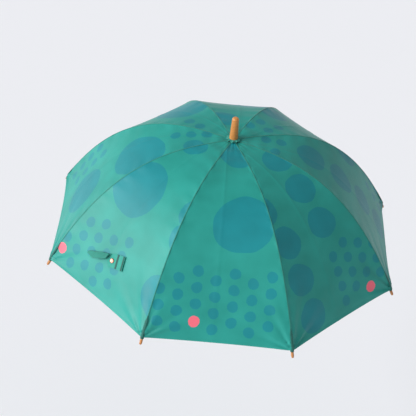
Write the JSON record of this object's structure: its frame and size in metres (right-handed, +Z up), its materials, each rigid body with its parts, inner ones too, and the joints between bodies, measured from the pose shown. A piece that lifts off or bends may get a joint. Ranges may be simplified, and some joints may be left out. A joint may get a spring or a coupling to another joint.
{
  "type": "children's umbrella",
  "caption": "Open child's stick umbrella with a dotted cloth canopy, wooden crook handle, sliding runner and folding ribs.",
  "frame": {"origin": "on the shaft axis, inside the straight grip", "axes": "+Z up the shaft to the ferrule; -Y through the middle of the gore that faces the viewer; the crook hooks out square to it, along +Y"},
  "size_m": [0.7466, 0.7466, 0.6669],
  "materials": {
    "canopy_cloth": "plain woven polyester with printed dots",
    "stick_wood": "clear satin lacquer",
    "frame_steel": "nickel plated",
    "rib_fibreglass": "smooth drawn rod",
    "notch_plastic": "fine moulded",
    "snap_metal": "rose plated"
  },
  "bodies": {
    "stick": {"shaft": "stick_wood", "crown_notch": "notch_plastic", "ferrule": "stick_wood", "crown_ruffle": "canopy_cloth", "handle": "stick_wood", "handle_collar": "frame_steel", "top_catch": "frame_steel", "low_catch": "frame_steel"},
    "runner": {"runner": "notch_plastic"},
    "rib_1": {"rib_inner_1": "frame_steel"},
    "rib_end_1": {"rib_outer_1": "rib_fibreglass", "rib_tip_1": "stick_wood"},
    "strut_1": {"stretcher_1": "frame_steel"},
    "cloth_1": {"gore_upper_1": "canopy_cloth"},
    "cloth_end_1": {"gore_lower_1": "canopy_cloth"},
    "rib_2": {"rib_inner_2": "frame_steel"},
    "rib_end_2": {"rib_outer_2": "rib_fibreglass", "rib_tip_2": "stick_wood"},
    "strut_2": {"stretcher_2": "frame_steel"},
    "cloth_2": {"gore_upper_2": "canopy_cloth"},
    "cloth_end_2": {"gore_lower_2": "canopy_cloth", "strap": "canopy_cloth", "snap": "snap_metal"},
    "rib_3": {"rib_inner_3": "frame_steel"},
    "rib_end_3": {"rib_outer_3": "rib_fibreglass", "rib_tip_3": "stick_wood"},
    "strut_3": {"stretcher_3": "frame_steel"},
    "cloth_3": {"gore_upper_3": "canopy_cloth"},
    "cloth_end_3": {"gore_lower_3": "canopy_cloth"},
    "rib_4": {"rib_inner_4": "frame_steel"},
    "rib_end_4": {"rib_outer_4": "rib_fibreglass", "rib_tip_4": "stick_wood"},
    "strut_4": {"stretcher_4": "frame_steel"},
    "cloth_4": {"gore_upper_4": "canopy_cloth"},
    "cloth_end_4": {"gore_lower_4": "canopy_cloth"},
    "rib_5": {"rib_inner_5": "frame_steel"},
    "rib_end_5": {"rib_outer_5": "rib_fibreglass", "rib_tip_5": "stick_wood"},
    "strut_5": {"stretcher_5": "frame_steel"},
    "cloth_5": {"gore_upper_5": "canopy_cloth"},
    "cloth_end_5": {"gore_lower_5": "canopy_cloth"},
    "rib_6": {"rib_inner_6": "frame_steel"},
    "rib_end_6": {"rib_outer_6": "rib_fibreglass", "rib_tip_6": "stick_wood"},
    "strut_6": {"stretcher_6": "frame_steel"},
    "cloth_6": {"gore_upper_6": "canopy_cloth"},
    "cloth_end_6": {"gore_lower_6": "canopy_cloth"},
    "rib_7": {"rib_inner_7": "frame_steel"},
    "rib_end_7": {"rib_outer_7": "rib_fibreglass", "rib_tip_7": "stick_wood"},
    "strut_7": {"stretcher_7": "frame_steel"},
    "cloth_7": {"gore_upper_7": "canopy_cloth"},
    "cloth_end_7": {"gore_lower_7": "canopy_cloth"},
    "rib_8": {"rib_inner_8": "frame_steel"},
    "rib_end_8": {"rib_outer_8": "rib_fibreglass", "rib_tip_8": "stick_wood"},
    "strut_8": {"stretcher_8": "frame_steel"},
    "cloth_8": {"gore_upper_8": "canopy_cloth"},
    "cloth_end_8": {"gore_lower_8": "canopy_cloth"}
  },
  "joints": [
    {"name": "runner_slide", "type": "slide", "parent": "stick", "child": "runner", "axis": [0, 0, -1], "range_m": [0, 0.2151], "deforming": ["gore_upper_1", "gore_lower_1", "gore_upper_2", "gore_lower_2", "gore_upper_3", "gore_lower_3", "gore_upper_4", "gore_lower_4", "gore_upper_5", "gore_lower_5", "gore_upper_6", "gore_lower_6", "gore_upper_7", "gore_lower_7", "gore_upper_8", "gore_lower_8", "strap", "snap", "top_catch", "low_catch"]},
    {"name": "rib_hinge_1", "type": "hinge", "parent": "stick", "child": "rib_1", "pos_m": [-0.00878, 0.00364, 0.5375], "axis": [-0.3827, -0.9239, 0], "range_deg": [0, 79.63]},
    {"name": "rib_bend_1", "type": "hinge", "parent": "rib_1", "child": "rib_end_1", "pos_m": [-0.168, 0.06959, 0.51662], "axis": [-0.3827, -0.9239, 0], "range_deg": [-35.39, 0]},
    {"name": "strut_hinge_1", "type": "hinge", "parent": "rib_1", "child": "strut_1", "pos_m": [-0.15614, 0.06467, 0.51532], "axis": [-0.3827, -0.9239, 0], "range_deg": [-128.44, 0]},
    {"name": "cloth_hinge_1", "type": "hinge", "parent": "stick", "child": "cloth_1", "pos_m": [-0.0092, 0, 0.541], "axis": [0, -1, 0], "range_deg": [0, 77.48]},
    {"name": "cloth_bend_1", "type": "hinge", "parent": "cloth_1", "child": "cloth_end_1", "pos_m": [-0.16878, 0, 0.51877], "axis": [0, -1, 0], "range_deg": [-35.49, 0]},
    {"name": "rib_hinge_2", "type": "hinge", "parent": "stick", "child": "rib_2", "pos_m": [-0.00878, -0.00364, 0.5375], "axis": [0.3827, -0.9239, 0], "range_deg": [0, 79.63]},
    {"name": "rib_bend_2", "type": "hinge", "parent": "rib_2", "child": "rib_end_2", "pos_m": [-0.168, -0.06959, 0.51662], "axis": [0.3827, -0.9239, 0], "range_deg": [-35.39, 0]},
    {"name": "strut_hinge_2", "type": "hinge", "parent": "rib_2", "child": "strut_2", "pos_m": [-0.15614, -0.06467, 0.51532], "axis": [0.3827, -0.9239, 0], "range_deg": [-128.44, 0]},
    {"name": "cloth_hinge_2", "type": "hinge", "parent": "stick", "child": "cloth_2", "pos_m": [-0.00651, -0.00651, 0.541], "axis": [0.7071, -0.7071, 0], "range_deg": [0, 77.48]},
    {"name": "cloth_bend_2", "type": "hinge", "parent": "cloth_2", "child": "cloth_end_2", "pos_m": [-0.11934, -0.11934, 0.51877], "axis": [0.7071, -0.7071, 0], "range_deg": [-35.49, 0]},
    {"name": "rib_hinge_3", "type": "hinge", "parent": "stick", "child": "rib_3", "pos_m": [-0.00364, -0.00878, 0.5375], "axis": [0.9239, -0.3827, 0], "range_deg": [0, 79.63]},
    {"name": "rib_bend_3", "type": "hinge", "parent": "rib_3", "child": "rib_end_3", "pos_m": [-0.06959, -0.168, 0.51662], "axis": [0.9239, -0.3827, 0], "range_deg": [-35.39, 0]},
    {"name": "strut_hinge_3", "type": "hinge", "parent": "rib_3", "child": "strut_3", "pos_m": [-0.06467, -0.15614, 0.51532], "axis": [0.9239, -0.3827, 0], "range_deg": [-128.44, 0]},
    {"name": "cloth_hinge_3", "type": "hinge", "parent": "stick", "child": "cloth_3", "pos_m": [0, -0.0092, 0.541], "axis": [1, 0, 0], "range_deg": [0, 77.48]},
    {"name": "cloth_bend_3", "type": "hinge", "parent": "cloth_3", "child": "cloth_end_3", "pos_m": [0, -0.16878, 0.51877], "axis": [1, 0, 0], "range_deg": [-35.49, 0]},
    {"name": "rib_hinge_4", "type": "hinge", "parent": "stick", "child": "rib_4", "pos_m": [0.00364, -0.00878, 0.5375], "axis": [0.9239, 0.3827, 0], "range_deg": [0, 79.63]},
    {"name": "rib_bend_4", "type": "hinge", "parent": "rib_4", "child": "rib_end_4", "pos_m": [0.06959, -0.168, 0.51662], "axis": [0.9239, 0.3827, 0], "range_deg": [-35.39, 0]},
    {"name": "strut_hinge_4", "type": "hinge", "parent": "rib_4", "child": "strut_4", "pos_m": [0.06467, -0.15614, 0.51532], "axis": [0.9239, 0.3827, 0], "range_deg": [-128.44, 0]},
    {"name": "cloth_hinge_4", "type": "hinge", "parent": "stick", "child": "cloth_4", "pos_m": [0.00651, -0.00651, 0.541], "axis": [0.7071, 0.7071, 0], "range_deg": [0, 77.48]},
    {"name": "cloth_bend_4", "type": "hinge", "parent": "cloth_4", "child": "cloth_end_4", "pos_m": [0.11934, -0.11934, 0.51877], "axis": [0.7071, 0.7071, 0], "range_deg": [-35.49, 0]},
    {"name": "rib_hinge_5", "type": "hinge", "parent": "stick", "child": "rib_5", "pos_m": [0.00878, -0.00364, 0.5375], "axis": [0.3827, 0.9239, 0], "range_deg": [0, 79.63]},
    {"name": "rib_bend_5", "type": "hinge", "parent": "rib_5", "child": "rib_end_5", "pos_m": [0.168, -0.06959, 0.51662], "axis": [0.3827, 0.9239, 0], "range_deg": [-35.39, 0]},
    {"name": "strut_hinge_5", "type": "hinge", "parent": "rib_5", "child": "strut_5", "pos_m": [0.15614, -0.06467, 0.51532], "axis": [0.3827, 0.9239, 0], "range_deg": [-128.44, 0]},
    {"name": "cloth_hinge_5", "type": "hinge", "parent": "stick", "child": "cloth_5", "pos_m": [0.0092, 0, 0.541], "axis": [0, 1, 0], "range_deg": [0, 77.48]},
    {"name": "cloth_bend_5", "type": "hinge", "parent": "cloth_5", "child": "cloth_end_5", "pos_m": [0.16878, 0, 0.51877], "axis": [0, 1, 0], "range_deg": [-35.49, 0]},
    {"name": "rib_hinge_6", "type": "hinge", "parent": "stick", "child": "rib_6", "pos_m": [0.00878, 0.00364, 0.5375], "axis": [-0.3827, 0.9239, 0], "range_deg": [0, 79.63]},
    {"name": "rib_bend_6", "type": "hinge", "parent": "rib_6", "child": "rib_end_6", "pos_m": [0.168, 0.06959, 0.51662], "axis": [-0.3827, 0.9239, 0], "range_deg": [-35.39, 0]},
    {"name": "strut_hinge_6", "type": "hinge", "parent": "rib_6", "child": "strut_6", "pos_m": [0.15614, 0.06467, 0.51532], "axis": [-0.3827, 0.9239, 0], "range_deg": [-128.44, 0]},
    {"name": "cloth_hinge_6", "type": "hinge", "parent": "stick", "child": "cloth_6", "pos_m": [0.00651, 0.00651, 0.541], "axis": [-0.7071, 0.7071, 0], "range_deg": [0, 77.48]},
    {"name": "cloth_bend_6", "type": "hinge", "parent": "cloth_6", "child": "cloth_end_6", "pos_m": [0.11934, 0.11934, 0.51877], "axis": [-0.7071, 0.7071, 0], "range_deg": [-35.49, 0]},
    {"name": "rib_hinge_7", "type": "hinge", "parent": "stick", "child": "rib_7", "pos_m": [0.00364, 0.00878, 0.5375], "axis": [-0.9239, 0.3827, 0], "range_deg": [0, 79.63]},
    {"name": "rib_bend_7", "type": "hinge", "parent": "rib_7", "child": "rib_end_7", "pos_m": [0.06959, 0.168, 0.51662], "axis": [-0.9239, 0.3827, 0], "range_deg": [-35.39, 0]},
    {"name": "strut_hinge_7", "type": "hinge", "parent": "rib_7", "child": "strut_7", "pos_m": [0.06467, 0.15614, 0.51532], "axis": [-0.9239, 0.3827, 0], "range_deg": [-128.44, 0]},
    {"name": "cloth_hinge_7", "type": "hinge", "parent": "stick", "child": "cloth_7", "pos_m": [0, 0.0092, 0.541], "axis": [-1, 0, 0], "range_deg": [0, 77.48]},
    {"name": "cloth_bend_7", "type": "hinge", "parent": "cloth_7", "child": "cloth_end_7", "pos_m": [0, 0.16878, 0.51877], "axis": [-1, 0, 0], "range_deg": [-35.49, 0]},
    {"name": "rib_hinge_8", "type": "hinge", "parent": "stick", "child": "rib_8", "pos_m": [-0.00364, 0.00878, 0.5375], "axis": [-0.9239, -0.3827, 0], "range_deg": [0, 79.63]},
    {"name": "rib_bend_8", "type": "hinge", "parent": "rib_8", "child": "rib_end_8", "pos_m": [-0.06959, 0.168, 0.51662], "axis": [-0.9239, -0.3827, 0], "range_deg": [-35.39, 0]},
    {"name": "strut_hinge_8", "type": "hinge", "parent": "rib_8", "child": "strut_8", "pos_m": [-0.06467, 0.15614, 0.51532], "axis": [-0.9239, -0.3827, 0], "range_deg": [-128.44, 0]},
    {"name": "cloth_hinge_8", "type": "hinge", "parent": "stick", "child": "cloth_8", "pos_m": [-0.00651, 0.00651, 0.541], "axis": [-0.7071, -0.7071, 0], "range_deg": [0, 77.48]},
    {"name": "cloth_bend_8", "type": "hinge", "parent": "cloth_8", "child": "cloth_end_8", "pos_m": [-0.11934, 0.11934, 0.51877], "axis": [-0.7071, -0.7071, 0], "range_deg": [-35.49, 0]}
  ],
  "couplings": [
    {"joint": "rib_hinge_1", "follows": "runner_slide", "rad_per_m": 6.4205},
    {"joint": "rib_bend_1", "follows": "runner_slide", "rad_per_m": -2.831},
    {"joint": "strut_hinge_1", "follows": "runner_slide", "rad_per_m": -10.381},
    {"joint": "cloth_hinge_1", "follows": "runner_slide", "rad_per_m": 6.246},
    {"joint": "cloth_bend_1", "follows": "runner_slide", "rad_per_m": -2.8395},
    {"joint": "rib_hinge_2", "follows": "runner_slide", "rad_per_m": 6.4205},
    {"joint": "rib_bend_2", "follows": "runner_slide", "rad_per_m": -2.831},
    {"joint": "strut_hinge_2", "follows": "runner_slide", "rad_per_m": -10.381},
    {"joint": "cloth_hinge_2", "follows": "runner_slide", "rad_per_m": 6.246},
    {"joint": "cloth_bend_2", "follows": "runner_slide", "rad_per_m": -2.8395},
    {"joint": "rib_hinge_3", "follows": "runner_slide", "rad_per_m": 6.4205},
    {"joint": "rib_bend_3", "follows": "runner_slide", "rad_per_m": -2.831},
    {"joint": "strut_hinge_3", "follows": "runner_slide", "rad_per_m": -10.381},
    {"joint": "cloth_hinge_3", "follows": "runner_slide", "rad_per_m": 6.246},
    {"joint": "cloth_bend_3", "follows": "runner_slide", "rad_per_m": -2.8395},
    {"joint": "rib_hinge_4", "follows": "runner_slide", "rad_per_m": 6.4205},
    {"joint": "rib_bend_4", "follows": "runner_slide", "rad_per_m": -2.831},
    {"joint": "strut_hinge_4", "follows": "runner_slide", "rad_per_m": -10.381},
    {"joint": "cloth_hinge_4", "follows": "runner_slide", "rad_per_m": 6.246},
    {"joint": "cloth_bend_4", "follows": "runner_slide", "rad_per_m": -2.8395},
    {"joint": "rib_hinge_5", "follows": "runner_slide", "rad_per_m": 6.4205},
    {"joint": "rib_bend_5", "follows": "runner_slide", "rad_per_m": -2.831},
    {"joint": "strut_hinge_5", "follows": "runner_slide", "rad_per_m": -10.381},
    {"joint": "cloth_hinge_5", "follows": "runner_slide", "rad_per_m": 6.246},
    {"joint": "cloth_bend_5", "follows": "runner_slide", "rad_per_m": -2.8395},
    {"joint": "rib_hinge_6", "follows": "runner_slide", "rad_per_m": 6.4205},
    {"joint": "rib_bend_6", "follows": "runner_slide", "rad_per_m": -2.831},
    {"joint": "strut_hinge_6", "follows": "runner_slide", "rad_per_m": -10.381},
    {"joint": "cloth_hinge_6", "follows": "runner_slide", "rad_per_m": 6.246},
    {"joint": "cloth_bend_6", "follows": "runner_slide", "rad_per_m": -2.8395},
    {"joint": "rib_hinge_7", "follows": "runner_slide", "rad_per_m": 6.4205},
    {"joint": "rib_bend_7", "follows": "runner_slide", "rad_per_m": -2.831},
    {"joint": "strut_hinge_7", "follows": "runner_slide", "rad_per_m": -10.381},
    {"joint": "cloth_hinge_7", "follows": "runner_slide", "rad_per_m": 6.246},
    {"joint": "cloth_bend_7", "follows": "runner_slide", "rad_per_m": -2.8395},
    {"joint": "rib_hinge_8", "follows": "runner_slide", "rad_per_m": 6.4205},
    {"joint": "rib_bend_8", "follows": "runner_slide", "rad_per_m": -2.831},
    {"joint": "strut_hinge_8", "follows": "runner_slide", "rad_per_m": -10.381},
    {"joint": "cloth_hinge_8", "follows": "runner_slide", "rad_per_m": 6.246},
    {"joint": "cloth_bend_8", "follows": "runner_slide", "rad_per_m": -2.8395}
  ]
}
